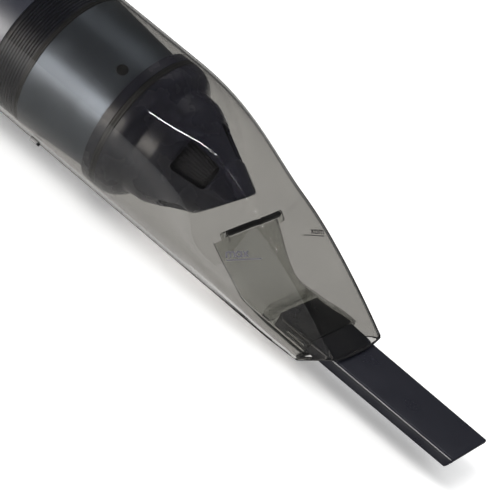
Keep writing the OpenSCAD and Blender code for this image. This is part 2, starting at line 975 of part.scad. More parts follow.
module power_switch() {
    top = grip_rise + grip_t / 2;
    place() color([0.55, 0.10, 0.12]) union() {
        block([switch_u, -5.9, top - 4.4], [switch_u + 13, 5.9, top + 0.4]);
        for (i = [0 : 3])
            block([switch_u + 1.4 + i * 3, -5, top + 0.3], [switch_u + 2.8 + i * 3, 5, top + 1.3]);
    }
}

module switch_block() {
    place() color([0.15, 0.15, 0.16])
        block([-158, -4.5, grip_rise - 4.6], [-137.5, 4.5, grip_rise + grip_t / 2 - 4.8]);
}

module indicator_lens() {
    place() color([0.45, 0.75, 0.95])
        translate([-172, 0, grip_rise + 4])
            cylinder(r = 2.45, h = grip_t / 2 - 3.6, $fn = 48);
}

// ---------- Release catch ----------

module release_button() {
    place() color([0.50, 0.52, 0.55]) union() {
        block([-96.9, -7.9, 44.4], [-86.1, 7.9, bowl_r + 2]);
        // Arm and nose of the catch
        block([-86.2, -4.4, 42.6], [-71, 4.4, 44.6]);
        block([-76, -3.8, 44.5], [-72, 3.8, bowl_in_r - 0.4]);
        block([-94, -4.4, 42.6], [-86, 4.4, 44.5]);
    }
}

// A tube through rings of points, closed at both ends
module sweep(rings) {
    n = len(rings[0]);
    m = len(rings);
    polyhedron(
        points = [for (r = rings) each r],
        faces = concat(
            [[for (j = [0 : n - 1]) j]],
            [for (i = [0 : m - 2]) for (j = [0 : n - 1])
                [i * n + j, (i + 1) * n + j, (i + 1) * n + (j + 1) % n, i * n + (j + 1) % n]],
            [[for (j = [n - 1 : -1 : 0]) (m - 1) * n + j]]
        )
    );
}

// A coil of round wire, standing on z = 0
module coil(r, wire, turns, height) {
    steps = turns * 14;
    sweep([for (i = [0 : steps])
        let (a = 360 * i / 14)
        [for (k = [0 : 5])
            [(r + wire * cos(60 * k)) * cos(a), (r + wire * cos(60 * k)) * sin(a),
             wire + (height - 2 * wire) * i / steps + wire * sin(60 * k)]]]);
}

module button_spring() {
    place() color([0.80, 0.80, 0.82])
        translate([-91.5, 0, shroud_r + 0.5])
            coil(2.6, 0.35, 4, 4.9);
}

module case_screws() {
    place() color([0.35, 0.35, 0.37]) {
        for (s = screw_spots)
            translate([s[0], -26.1, s[1]])
                screw(20, 3.6);
        for (s = handle_screws)
            translate([s[0], -9.1, s[1]])
                screw(17, 3.2);
    }
}

// A pan-head screw that points along +Y, with its head on -Y
module screw(reach, head) {
    rotate([-90, 0, 0]) difference() {
        union() {
            cylinder(r = 1.5, h = reach, $fn = 32);
            translate([0, 0, -2])
                cylinder(r = head, h = 2, $fn = 48);
        }
        for (a = [0, 90])
            rotate([0, 0, a])
                translate([-2, -0.4, -2.1])
                    cube([4, 0.8, 1]);
    }
}

dust_bowl();
bowl_lugs();
mouth_lip();
inlet_duct();
flap_pin();
flap();
crevice_tool();
filter_cage();
filter_sleeve();
cage_seal();
snout_sleeve();
bayonet_studs();
ribbed_collar();
collar_seal();
front_plate();
fan_shroud();
impeller();
impeller_nut();
rotor_shaft();
armature();
commutator();
motor_can();
motor_end_bell();
magnets();
brushes();
bearings();
motor_mount();
battery_cells();
cell_links();
battery_tray();
circuit_board();
housing_left();
housing_right();
exhaust_grilles();
tail_cap();
charge_socket();
handle_left();
handle_right();
grip_pad();
power_switch();
switch_block();
indicator_lens();
release_button();
button_spring();
case_screws();
rubber_feet();
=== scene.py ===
import json
from math import atan2, cos, hypot, pi, radians, sin, sqrt, tan

import bmesh
import bpy
from mathutils import Matrix, Vector

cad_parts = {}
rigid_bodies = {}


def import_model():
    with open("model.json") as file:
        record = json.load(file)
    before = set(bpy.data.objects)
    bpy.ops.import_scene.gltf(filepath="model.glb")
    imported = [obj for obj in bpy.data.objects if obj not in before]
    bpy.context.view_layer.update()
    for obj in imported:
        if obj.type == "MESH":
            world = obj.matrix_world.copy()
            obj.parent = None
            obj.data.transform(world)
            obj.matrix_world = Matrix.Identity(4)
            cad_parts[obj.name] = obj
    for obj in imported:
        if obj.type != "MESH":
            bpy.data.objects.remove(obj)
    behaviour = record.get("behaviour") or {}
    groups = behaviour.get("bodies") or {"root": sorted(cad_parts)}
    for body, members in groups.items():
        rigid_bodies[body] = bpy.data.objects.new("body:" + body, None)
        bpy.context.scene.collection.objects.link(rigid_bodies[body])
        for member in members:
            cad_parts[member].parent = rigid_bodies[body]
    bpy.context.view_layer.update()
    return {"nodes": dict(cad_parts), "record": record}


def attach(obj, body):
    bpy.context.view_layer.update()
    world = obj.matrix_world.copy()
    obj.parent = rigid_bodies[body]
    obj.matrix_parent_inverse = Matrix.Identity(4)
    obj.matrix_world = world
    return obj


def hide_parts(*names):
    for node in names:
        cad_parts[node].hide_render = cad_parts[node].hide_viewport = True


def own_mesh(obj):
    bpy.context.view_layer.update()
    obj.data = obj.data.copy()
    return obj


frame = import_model()
scene = bpy.context.scene
scene.view_settings.view_transform = "Standard"

# Shapes are worked out in millimetres, as (station on the barrel axis, sideways, height over
# the axis), and put() turns them into the frame of the part, in metres.
ORIGIN_X, AXIS_Z, MM = -16, 48, 0.001


def put(p):
    return ((p[0] + ORIGIN_X) * MM, p[1] * MM, (p[2] + AXIS_Z) * MM)


# ---------- Materials ----------

def node_of(tree, kind, **inputs):
    n = tree.nodes.new(kind)
    for key, value in inputs.items():
        n.inputs[key.replace("_", " ")].default_value = value
    return n


def start(name):
    m = bpy.data.materials.new(name)
    m.use_nodes = True
    tree = m.node_tree
    tree.nodes.clear()
    return m, tree, node_of(tree, "ShaderNodeOutputMaterial"), node_of(tree, "ShaderNodeTexCoord")


def noise(tree, coords, scale, detail=3.0):
    n = node_of(tree, "ShaderNodeTexNoise", Scale=scale, Detail=detail)
    tree.links.new(coords.outputs["Object"], n.inputs["Vector"])
    return n


def spread(tree, source, low, high):
    n = node_of(tree, "ShaderNodeMapRange", From_Min=0.3, From_Max=0.7, To_Min=low, To_Max=high)
    tree.links.new(source, n.inputs["Value"])
    return n


def solid(name, colour, rough, metal=0.0, grain=0.02, scale=2600.0, drift=0.12, coat=0.0, edge=0.35,
          line=0.0):
    """Opaque material: fine grain in the surface, slow drift in colour and roughness, rounded edges."""
    m, tree, out, coords = start(name)
    link = tree.links.new
    p = node_of(tree, "ShaderNodeBsdfPrincipled", Metallic=metal, Coat_Weight=coat, Coat_Roughness=0.12)
    slow, fine = noise(tree, coords, 45.0), noise(tree, coords, scale, 4.0)
    shade = node_of(tree, "ShaderNodeMix")
    shade.data_type = "RGBA"
    shade.inputs["A"].default_value = (*[c * (1 - drift) for c in colour], 1)
    shade.inputs["B"].default_value = (*[min(c * (1 + drift), 1) for c in colour], 1)
    link(slow.outputs["Fac"], shade.inputs["Factor"])
    link(shade.outputs["Result"], p.inputs["Base Color"])
    link(spread(tree, slow.outputs["Fac"], rough * 0.88, min(rough * 1.12, 1)).outputs["Result"],
         p.inputs["Roughness"])
    bump = node_of(tree, "ShaderNodeBump", Strength=min(grain * 10, 1), Distance=0.0004 * grain * 10)
    link(fine.outputs["Fac"], bump.inputs["Height"])
    if line:
        wave = node_of(tree, "ShaderNodeTexWave", Scale=line, Distortion=0.4)
        link(coords.outputs["Object"], wave.inputs["Vector"])
        link(wave.outputs["Fac"], bump.inputs["Height"])
    if edge:
        soft = node_of(tree, "ShaderNodeBevel", Radius=edge * MM)
        soft.samples = 4
        link(soft.outputs["Normal"], bump.inputs["Normal"])
    link(bump.outputs["Normal"], p.inputs["Normal"])
    link(p.outputs["BSDF"], out.inputs["Surface"])
    return m


def clear(name, colour, rough, through, ior=1.4, haze=0.04):
    """Clear plastic that bends light, with faint flow marks, and lets the lamps shine through."""
    m, tree, out, coords = start(name)
    link = tree.links.new
    p = node_of(tree, "ShaderNodeBsdfPrincipled", Transmission_Weight=1.0, IOR=ior)
    slow, fine = noise(tree, coords, 30.0), noise(tree, coords, 1500.0)
    shade = node_of(tree, "ShaderNodeMix")
    shade.data_type = "RGBA"
    shade.inputs["A"].default_value = (*[c * (1 - haze) for c in colour], 1)
    shade.inputs["B"].default_value = (*[min(c * (1 + haze), 1) for c in colour], 1)
    link(slow.outputs["Fac"], shade.inputs["Factor"])
    link(shade.outputs["Result"], p.inputs["Base Color"])
    link(spread(tree, fine.outputs["Fac"], rough * 0.7, rough * 1.3).outputs["Result"], p.inputs["Roughness"])
    bump = node_of(tree, "ShaderNodeBump", Strength=0.02, Distance=0.0002)
    link(slow.outputs["Fac"], bump.inputs["Height"])
    link(bump.outputs["Normal"], p.inputs["Normal"])
    clear_path = node_of(tree, "ShaderNodeBsdfTransparent")
    clear_path.inputs["Color"].default_value = (*through, 1)
    rays = node_of(tree, "ShaderNodeLightPath")
    mix = node_of(tree, "ShaderNodeMixShader")
    link(rays.outputs["Is Shadow Ray"], mix.inputs["Fac"])
    link(p.outputs["BSDF"], mix.inputs[1])
    link(clear_path.outputs["BSDF"], mix.inputs[2])
    link(mix.outputs["Shader"], out.inputs["Surface"])
    return m


LOOKS = {
    "smoke_clear": clear("smoke_clear", (0.55, 0.54, 0.52), 0.012, (0.90, 0.89, 0.88)),
    "smoke_duct": clear("smoke_duct", (0.78, 0.785, 0.76), 0.05, (0.80, 0.80, 0.79)),
    "navy_gloss": solid("navy_gloss", (0.012, 0.0125, 0.019), 0.30, grain=0.001),
    "navy_matte": solid("navy_matte", (0.014, 0.016, 0.028), 0.40, grain=0.008, scale=3600.0),
    "black_plastic": solid("black_plastic", (0.009, 0.009, 0.011), 0.38, grain=0.006),
    "black_rubber": solid("black_rubber", (0.010, 0.010, 0.011), 0.6, grain=0.012, scale=1800.0),
    "satin_metallic": solid("satin_metallic", (0.13, 0.15, 0.18), 0.34, metal=0.7, grain=0.002,
                            scale=5200.0),
    "filter_mesh": solid("filter_mesh", (0.045, 0.045, 0.06), 0.7, grain=0.09, line=900.0, edge=0),
    "steel": solid("steel", (0.55, 0.56, 0.58), 0.24, metal=1.0, grain=0.01, line=420.0),
    "screw_black": solid("screw_black", (0.05, 0.05, 0.055), 0.34, metal=0.8, grain=0.02),
    "copper": solid("copper", (0.52, 0.24, 0.11), 0.3, metal=1.0, grain=0.03, line=700.0),
    "brass": solid("brass", (0.62, 0.46, 0.2), 0.28, metal=1.0, grain=0.015),
    "magnet_grey": solid("magnet_grey", (0.07, 0.07, 0.075), 0.55, metal=0.3, grain=0.05),
    "cream_plastic": solid("cream_plastic", (0.60, 0.57, 0.49), 0.45, grain=0.025),
    "board_green": solid("board_green", (0.012, 0.11, 0.045), 0.32, grain=0.02, line=300.0),
    "cell_wrap": solid("cell_wrap", (0.03, 0.17, 0.13), 0.22, grain=0.012, coat=0.3),
    "nickel": solid("nickel", (0.58, 0.56, 0.52), 0.26, metal=1.0, grain=0.02),
    "button_grey": solid("button_grey", (0.17, 0.18, 0.20), 0.3, metal=0.6, grain=0.015, scale=5200.0),
    "switch_red": solid("switch_red", (0.30, 0.022, 0.028), 0.36, grain=0.02),
    "lens_blue": clear("lens_blue", (0.5, 0.74, 0.92), 0.05, (0.7, 0.85, 0.95)),
    # A lighter copy of navy_gloss for the cage: the extra lightness is a painted highlight, standing in for
    # the soft violet-grey highlight on the cage.
    "cage_navy_painted_highlight": solid("cage_navy_painted_highlight", (0.036, 0.037, 0.056), 0.27, grain=0.001),
    "print_grey": solid("print_grey", (0.11, 0.105, 0.13), 0.5, grain=0.01, edge=0),
}
for part in frame["record"]["subparts"]:
    paint = frame["nodes"][part["node"]].data.materials
    paint.clear()
    paint.append(LOOKS[part["material_slot"]])


# ---------- Mesh helpers ----------

def add(name, body, slot, verts, faces, replaces=(), sharp=32, look=None):
    mesh = bpy.data.meshes.new(name)
    mesh.from_pydata([put(v) for v in verts], [], faces)
    bm = bmesh.new()
    bm.from_mesh(mesh)
    bmesh.ops.remove_doubles(bm, verts=bm.verts, dist=2e-6)
    bmesh.ops.recalc_face_normals(bm, faces=bm.faces)
    bm.to_mesh(mesh)
    bm.free()
    ob = bpy.data.objects.new(name, mesh)
    scene.collection.objects.link(ob)
    finish_mesh(ob, sharp)
    if body:
        mesh.materials.append(LOOKS[look or slot])
        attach(ob, body)
        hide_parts(*replaces)
    return ob


def finish_mesh(ob, sharp=32):
    ob.data.polygons.foreach_set("use_smooth", [True] * len(ob.data.polygons))
    ob.data.set_sharp_from_angle(angle=radians(sharp))


def tube(rings, loop=False):
    """Vertices and faces of a skin through closed rings of points, capped unless it closes on itself."""
    n, m = len(rings[0]), len(rings)
    faces = []
    for i in range(m if loop else m - 1):
        a, b = i * n, (i + 1) % m * n
        faces += [(a + j, a + (j + 1) % n, b + (j + 1) % n, b + j) for j in range(n)]
    if not loop:
        faces += [tuple(range(n - 1, -1, -1)), tuple((m - 1) * n + j for j in range(n))]
    return [p for r in rings for p in r], faces


def soften(points, radius, steps=4, closed=True):
    """Corners of a 2-D outline, rounded. A point may carry its own radius as a third number."""
    out, n = [], len(points)
    for i, p in enumerate(points):
        if not closed and i in (0, n - 1):
            out.append(tuple(p[:2]))
            continue
        a, c, b = Vector(points[i - 1][:2]), Vector(p[:2]), Vector(points[(i + 1) % n][:2])
        u, v = a - c, b - c
        r = p[2] if len(p) > 2 else radius
        turn = pi - u.angle(v, pi)
        if r <= 0 or turn < 0.02:
            out.append(tuple(c))
            continue
        t = min(r * tan(turn / 2), 0.46 * u.length, 0.46 * v.length)
        s, e = c + u.normalized() * t, c + v.normalized() * t
        for k in range(steps + 1):
            f = k / steps
            q = s * (1 - f) ** 2 + c * 2 * f * (1 - f) + e * f * f
            out.append(tuple(q))
    return out


def circle(cx, cy, r, steps=40):
    return [(cx + r * cos(2 * pi * k / steps), cy + r * sin(2 * pi * k / steps)) for k in range(steps)]


def spin(profile, count=180):
    """Rings of a profile of (station, radius) points, once round the axis."""
    return [[(p[0], p[1] * cos(a), p[1] * sin(a)) for p in profile]
            for a in (2 * pi * k / count for k in range(count))]


def lathe(name, body, slot, profile, replaces):
    return add(name, body, slot, *tube(spin(profile), loop=True), replaces)


def prism(name, outline, low, high, plane="xy", round_by=0.0, lip=0.0):
    """A plate from an outline of (a, b) points, from low to high along the third axis, its edges
    cut back by lip. Returns a bare mesh, for a cutter or for joining."""
    pts = soften(outline, round_by, 5) if round_by else [tuple(p[:2]) for p in outline]
    cx, cy = sum(p[0] for p in pts) / len(pts), sum(p[1] for p in pts) / len(pts)

    def inset(d):
        return [(p[0] - d * (p[0] - cx) / max(hypot(p[0] - cx, p[1] - cy), 1e-6),
                 p[1] - d * (p[1] - cy) / max(hypot(p[0] - cx, p[1] - cy), 1e-6)) for p in pts]

    levels = [(low, 0), (high, 0)]
    if lip:
        levels = [(low, lip), (low + 0.35 * lip, 0.35 * lip), (low + lip, 0),
                  (high - lip, 0), (high - 0.35 * lip, 0.35 * lip), (high, lip)]
    order = {"xy": lambda a, b, c: (a, b, c), "xz": lambda a, b, c: (a, c, b),
             "yz": lambda a, b, c: (c, a, b)}[plane]
    return tube([[order(p[0], p[1], h) for p in inset(d)] for h, d in levels])


def box_outline(a0, a1, b0, b1):
    return [(a0, b0), (a1, b0), (a1, b1), (a0, b1)]


def slab(low, high, r=0.6, lip=0.3, plane="xy"):
    """A block with rounded corners in plan and softened edges."""
    i, j, k = {"xy": (0, 1, 2), "xz": (0, 2, 1), "yz": (1, 2, 0)}[plane]
    return prism("", box_outline(low[i], high[i], low[j], high[j]), low[k], high[k], plane, r, lip)


def join(*meshes):
    verts, faces = [], []
    for v, f in meshes:
        n = len(verts)
        verts += v
        faces += [tuple(k + n for k in g) for g in f]
    return verts, faces


def turned(mesh, degrees, about=(0, 0, 0), axis="X"):
    m = Matrix.Rotation(radians(degrees), 3, axis)
    c = Vector(about)
    return [tuple(m @ (Vector(v) - c) + c) for v in mesh[0]], mesh[1]


def moved(mesh, by):
    return [tuple(a + b for a, b in zip(v, by)) for v in mesh[0]], mesh[1]


def cut(ob, meshes, sharp=32):
    """Takes closed meshes out of a piece."""
    for k, (verts, faces) in enumerate(meshes):
        tool = add(f"cutter_{k}", None, None, verts, faces)
        mod = ob.modifiers.new("cut", "BOOLEAN")
        mod.operation, mod.solver, mod.object = "DIFFERENCE", "EXACT", tool
        made = bpy.data.meshes.new_from_object(ob.evaluated_get(bpy.context.evaluated_depsgraph_get()))
        ob.modifiers.clear()
        old, ob.data = ob.data, made
        bpy.data.meshes.remove(old)
        bpy.data.objects.remove(tool)
    finish_mesh(ob, sharp)


# ---------- Shape of the dust bowl ----------

BOWL_R, BOWL_WALL, BOWL_REAR = 48.0, 2.0, -80.0
MOUTH_HALF, MOUTH_TOP, SLANT, BOW = 27.8, 182.0, 1.2, 2.9
MOUTH_GUESS, MOUTH_STEPS, RIM_T = 165.0, 14, 0.9975


def clamp(v, low=0.0, high=1.0):
    return min(max(v, low), high)


def ease(a, b, u):
    t = clamp((u - a) / (b - a))
    return t * t * (3 - 2 * t)


def deck_z(u):
    return 41 - 0.10 * max(u, 0) - 0.0014 * max(u, 0) ** 2


def deck_half(u):
    return 22 + (MOUTH_HALF - 22) * ease(40, 125, u)


def side_half(u):
    return 47 + (MOUTH_HALF - 47) * clamp(u / 160)


def mid_z(u):
    return (deck_z(u) - BOWL_R) / 2


def bowl_reach(u, a):
    """Distance from the middle of a section to the wall, in a direction."""
    m, s, c = mid_z(u), sin(a), cos(a)
    r = BOWL_R - max(u - 135, 0) ** 2 / 100 * min(s, 0) ** 2
    trough = -m * s + sqrt((m * s) ** 2 - m * m + r * r)
    t = ease(2, 96, u)
    if t == 0:
        return trough
    deck = (deck_z(u) - m) / s if s > 0.02 else 1000
    low = -12 + min(0, m + 12)
    rise, lean = deck_z(u) - low, side_half(u) - deck_half(u)
    size = hypot(rise, lean)
    toward = (abs(c) * rise + s * lean) / size
    side = (side_half(u) * rise + (low - m) * lean) / size / toward if toward > 0.02 else 1000
    p = 12 + 16 * ease(30, 120, u)
    return (1 - t) * trough + t * (trough ** -p + deck ** -p + side ** -p) ** (-1 / p)


def bowl_at(u, a, inset=0.0):
    r = bowl_reach(u, a) - inset
    return (u, r * cos(a), mid_z(u) + r * sin(a))


def mouth_u(a, inset):
    """Station of the slanted, bowed mouth in a direction, closed in on step by step."""
    u = MOUTH_GUESS
    for _ in range(MOUTH_STEPS):
        r = bowl_reach(u, a) - inset
        u = MOUTH_TOP - BOW * (r * cos(a) / MOUTH_HALF) ** 2 + SLANT * (mid_z(u) + r * sin(a)
                                                                        - deck_z(MOUTH_TOP))
    return u


LOW_STEPS, SIDE_STEPS, DECK_STEPS, RINGS = 22, 30, 22, 110


def section_angles(u):
    w = min(side_half(u), BOWL_R - 1)
    corner = atan2(-sqrt(BOWL_R ** 2 - w * w) - mid_z(u), w)
    ridge = atan2(deck_z(u) - mid_z(u), deck_half(u))
    half = [-pi / 2 + (corner + pi / 2) * j / LOW_STEPS for j in range(LOW_STEPS)]
    for j in range(SIDE_STEPS):
        # Closer together towards the ridge
        f = j / SIDE_STEPS
        half.append(corner + (ridge - corner) * (1 - (1 - f) ** 1.6))
    half += [ridge + (pi / 2 - ridge) * (j / DECK_STEPS) ** 1.6 for j in range(DECK_STEPS + 1)]
    return half + [pi - a for a in half[-2:0:-1]]


def bowl_ring(t, inset):
    ring = []
    for a in section_angles(BOWL_REAR + (MOUTH_TOP - BOWL_REAR) * t):
        u = BOWL_REAR + (mouth_u(a, inset) - BOWL_REAR) * t
        ring.append(bowl_at(u, a, inset))
    return ring


def build_bowl():
    ts = [i / RINGS for i in range(RINGS)]
    rings = [bowl_ring(t, 0) for t in ts + [RIM_T]]
    rings += [bowl_ring(1, 0.35), bowl_ring(1, BOWL_WALL - 0.35)]
    rings += [bowl_ring(t, BOWL_WALL) for t in [RIM_T] + ts[::-1]]
    bowl = add("bowl_clear", "bowl", "smoke_clear", *tube(rings, loop=True), ["dust_bowl"], sharp=40)
    cut(bowl, [slab((-78, -4.5, 40), (-70, 4.5, 50), 1.0, 0)]
        + [turned(slab((-47, -2.5, -52), (-41, 2.5, -42), 0.5, 0), s * 30) for s in (-1, 1)], 40)


build_bowl()
add("bowl_catch_lugs", "bowl", "black_plastic",
    *join(*[turned(slab((-46.9, -2.4, -49.4), (-41.1, 2.4, -45.9), 0.5, 0.3), s * 30) for s in (-1, 1)]),
    ["bowl_lugs"])


def build_lip():
    """Trim on the rim: thick along the slanted top, and a thin bead round the rest."""
    toward = Vector((0.64, 0, -0.768))
    rings = []
    for a in section_angles(MOUTH_TOP):
        deck = ease(0.32, 0.62, sin(a))
        outer = Vector(bowl_at(mouth_u(a, 0), a, 0.02))
        inner = Vector(bowl_at(mouth_u(a, BOWL_WALL), a, BOWL_WALL - 0.02))
        out = (outer - inner).normalized()
        tall, grow = 0.5 + 0.75 * deck, 0.15 * deck
        mid, half = (outer + inner) / 2, (outer - inner).length / 2 * (0.55 + 0.45 * deck) + grow
        ring = []
        for k in range(12):
            w = 2 * pi * k / 12
            cx, cy = cos(w), sin(w)
            sx = abs(cx) ** 0.5 * (1 if cx > 0 else -1)
            sy = abs(cy) ** 0.5 * (1 if cy > 0 else -1)
            ring.append(tuple(mid + out * half * sx + toward * (0.12 + tall / 2 + tall / 2 * sy)))
        rings.append(ring)
    add("mouth_trim", "bowl", "black_rubber", *tube(rings, loop=True), ["mouth_lip"], sharp=50)


build_lip()


# ---------- Duct, flap and tool ----------

TOOL_MID, TOOL_REAR, TOOL_TIP, TOOL_HALF = -29.9, 136.0, 267.0, 21.5
DUCT_HALF, DUCT_H, DUCT_WALL, DUCT_END, DUCT_FRONT, DUCT_END_Z = 21.95, 8.2, 1.2, 88.0, 163.0, -11.0
DUCT_A, REAR_HALF = radians(33), 28.0
PIN_AT = (-2.2, 5.8)  # pin of the flap, back from the duct's rear end and up
DUCT_BEND = DUCT_END + (DUCT_END_Z - TOOL_MID) / tan(DUCT_A)


def rounded_rect(half_w, half_h, r, steps=6):
    """Points of a section (sideways, up) with rounded corners."""
    pts = []
    for cx, cy, a0 in ((half_w - r, half_h - r, 0), (-half_w + r, half_h - r, 90),
                       (-half_w + r, -half_h + r, 180), (half_w - r, -half_h + r, 270)):
        pts += [(cx + r * cos(radians(a0 + 90 * k / steps)), cy + r * sin(radians(a0 + 90 * k / steps)))
                for k in range(steps + 1)]
    return pts


def duct_path():
    """Middle points of the duct from its mouth end to its rear end, with the angle of each section."""
    out = [(DUCT_FRONT - i * 1.5, TOOL_MID, 0.0) for i in range(20)]
    bend = 12 * tan(DUCT_A / 2)
    for k in range(0, 13):
        a = DUCT_A * k / 12
        out.append((DUCT_BEND + bend - 12 * sin(a), TOOL_MID + 12 * (1 - cos(a)), a))
    x0, z0 = out[-1][0], out[-1][1]
    for k in range(1, 13):
        f = k / 12
        out.append((x0 + (DUCT_END - x0) * f, z0 + (DUCT_END_Z - z0) * f, DUCT_A))
    return [p for p in out if p[2] > 0 or p[0] > DUCT_BEND + bend]


def at_section(point, section):
    x, z, a = point
    return [(x + h * sin(a), w, z + h * cos(a)) for w, h in section]


def duct_half(u):
    """Half width inside; the duct widens from the bend to its rear end."""
    return DUCT_HALF + (REAR_HALF - DUCT_HALF) * ease(DUCT_BEND + 8, DUCT_END - 4, u)


def at_duct_end(mesh):
    """A mesh laid out about the middle of the duct's rear end, turned and moved into place."""
    c, s = cos(DUCT_A), sin(DUCT_A)
    return [(DUCT_END + x * c + z * s, y, DUCT_END_Z - x * s + z * c) for x, y, z in mesh[0]], mesh[1]


def build_duct():
    path = duct_path()
    outer, inner = [], []
    for p in path:
        band, half = ease(124, 134, p[0]), duct_half(p[0])
        outer.append(at_section(p, rounded_rect(half + DUCT_WALL + 1.5 * band,
                                                DUCT_H / 2 + DUCT_WALL + 0.5 * band, 3.2)))
        inner.append(at_section(p, rounded_rect(half, DUCT_H / 2, 2.0)))
    skin = tube(outer + inner[::-1], loop=True)
    # The tool stops against a step in the socket
    ledge = [at_section((u, TOOL_MID, 0), rounded_rect(DUCT_HALF - 0.06, DUCT_H / 2 - 0.06, 2.0))
             for u in (130.0, 130.4, 135.0, 135.4)]
    hole = [at_section((u, TOOL_MID, 0), rounded_rect(DUCT_HALF - 1.8, DUCT_H / 2 - 1.6, 1.2))
            for u in (135.4, 130.0)]
    step = tube(ledge + hole, loop=True)
    ears, wings = [], []
    for side in (-1, 1):
        lo, hi = sorted((side * (REAR_HALF + 0.02), side * (REAR_HALF + 1.2)))
        ears.append(at_duct_end(slab((-4.0, lo, 2.6), (2.8, hi, 7.6), 1.6, 0.2, "xz")))
        lo, hi = sorted((side * 22.95, side * 25.05))
        wings.append(slab((148, lo, TOOL_MID - 1), (161, hi, TOOL_MID + 1), 0.5, 0.3))
    add("inlet_duct_clear", "bowl", "smoke_duct", *join(skin, step, *ears), ["inlet_duct"], sharp=40)
    add("inlet_duct_wings", "bowl", "smoke_duct", *join(*wings), sharp=40)


build_duct()


def wheel(x, z, r, y0, y1, steps=28, lip=0.25):
    """A round bar along Y."""
    rings = [[(a, y, b) for a, b in circle(x, z, r - d, steps)]
             for y, d in ((y0, lip), (y0 + lip, 0), (y1 - lip, 0), (y1, lip))]
    return tube(rings)


def build_flap():
    plate = prism("", [(-27.6, -5.0, 4.5), (27.6, -5.0, 4.5), (27.6, 5.4, 2.5), (-27.6, 5.4, 2.5)],
                  -2.4, -0.4, "yz", 3.0, 0.45)
    tab = slab((-4.6, -3.5, -2), (-2.2, 3.5, 5.6), 0.8, 0.5, "yz")
    bar = wheel(*PIN_AT, 1.8, -27.75, 27.75)
    bead = slab((-3.1, -23, -3.6), (-2.2, 23, -2.5), 0.3, 0.3, "yz")
    flap = add("flap_plate", "flap", "black_plastic",
               *at_duct_end(join(plate, tab, bar, bead)), ["flap"], sharp=40)
    cut(flap, [at_duct_end(wheel(*PIN_AT, 1.15, -30, 30, 28, 0))], 40)


build_flap()


def build_tool():
    def ring(u_of, half_w, half_h, r):
        return [(u_of(w, h), w, TOOL_MID + h) for w, h in rounded_rect(half_w, half_h, r, 7)]

    def taper(u):
        return TOOL_HALF - 1.1 * (u - TOOL_REAR) / (TOOL_TIP - TOOL_REAR)

    def rear(d):
        # Rounded corners in plan at the rear end
        return lambda w, h: TOOL_REAR + d + 7 - sqrt(max(49 - max(abs(w) - TOOL_HALF + 7, 0) ** 2, 0))

    def tip(d):
        return lambda w, h: TOOL_TIP - d - 0.5 * max(1.6 - h, 0) - 0.02 * max(abs(w) - 12, 0) ** 2

    def at(u):
        return lambda w, h: u

    rings = [ring(rear(0), TOOL_HALF - 0.4, 3.4, 1.7), ring(rear(0.12), TOOL_HALF - 0.12, 3.68, 1.9),
             ring(rear(0.5), TOOL_HALF, 3.8, 2.0)]
    rings += [ring(at(u), taper(u), 3.8, 2.0 - 0.6 * ease(160, 180, u)) for u in range(146, 262, 5)]
    rings += [ring(tip(0.6), taper(266), 3.8, 1.4), ring(tip(0.15), taper(266) - 0.15, 3.65, 1.3),
              ring(tip(0), taper(266) - 0.5, 3.3, 1.1)]
    rings += [ring(tip(0), taper(266) - 1.2, 2.5, 0.9), ring(tip(0.4), taper(266) - 1.6, 2.2, 0.8)]
    rings += [ring(at(u), taper(u) - 1.6, 2.2, 0.8) for u in (255, 200, 150)]
    rings += [ring(rear(0.6), TOOL_HALF - 2.0, 2.2, 0.8), ring(rear(0), TOOL_HALF - 1.6, 2.5, 0.9)]
    add("crevice_tool_blade", "tool", "navy_gloss", *tube(rings, loop=True), ["crevice_tool"], sharp=38)


build_tool()


# ---------- Filter cage ----------

NOSE_TIP, NOSE_R, CONE_START, CONE_R, LEAN = 73.7, 13.5, 29.0, 34.2, radians(38)
CONE_SLOPE = (CONE_R - NOSE_R) / (NOSE_TIP - CONE_START - 2)


def cage_path(phi, t, e, corner):
    """(station, radius) points of the cage in one direction about the axis, ending at the middle of
    the slanted face; t shrinks the body and e moves the face back."""
    body = soften([(-4, 45 - t), (8.5, 45 - t, 12), (13, 43.2 - t, 6), (16.6 - t / 2, 38.6 - t, 4),
                   (18.4 - t / 2, 36.1 - t, 3), (22 - t / 2, 35.6 - t, 10), (29, 35.0 - t, 12),
                   (31.5, 34.0 - t, 8)], 2, 5, closed=False)
    up = sin(phi) * tan(LEAN)
    # The cone meets the face where NOSE_R - t - slope (u - NOSE_TIP) = r and u = NOSE_TIP - e + up r
    r = (NOSE_R - t + CONE_SLOPE * e) / (1 + CONE_SLOPE * up)
    u = NOSE_TIP - e + up * r
    near = Vector((31.5, 34.0 - t))
    edge, middle = Vector((u, r)), Vector((NOSE_TIP - e, 0))
    back = (near - edge).normalized() * corner
    down = (middle - edge).normalized() * corner
    cone = [near.lerp(edge + back, k / 12) for k in range(1, 13)]
    turn = [(edge + back) * (1 - f) ** 2 + edge * 2 * f * (1 - f) + (edge + down) * f * f
            for f in (k / 5 for k in range(1, 6))]
    face = [(edge + down).lerp(middle, k / 5) for k in range(1, 6)]
    return body + [tuple(v) for v in cone + turn + face]


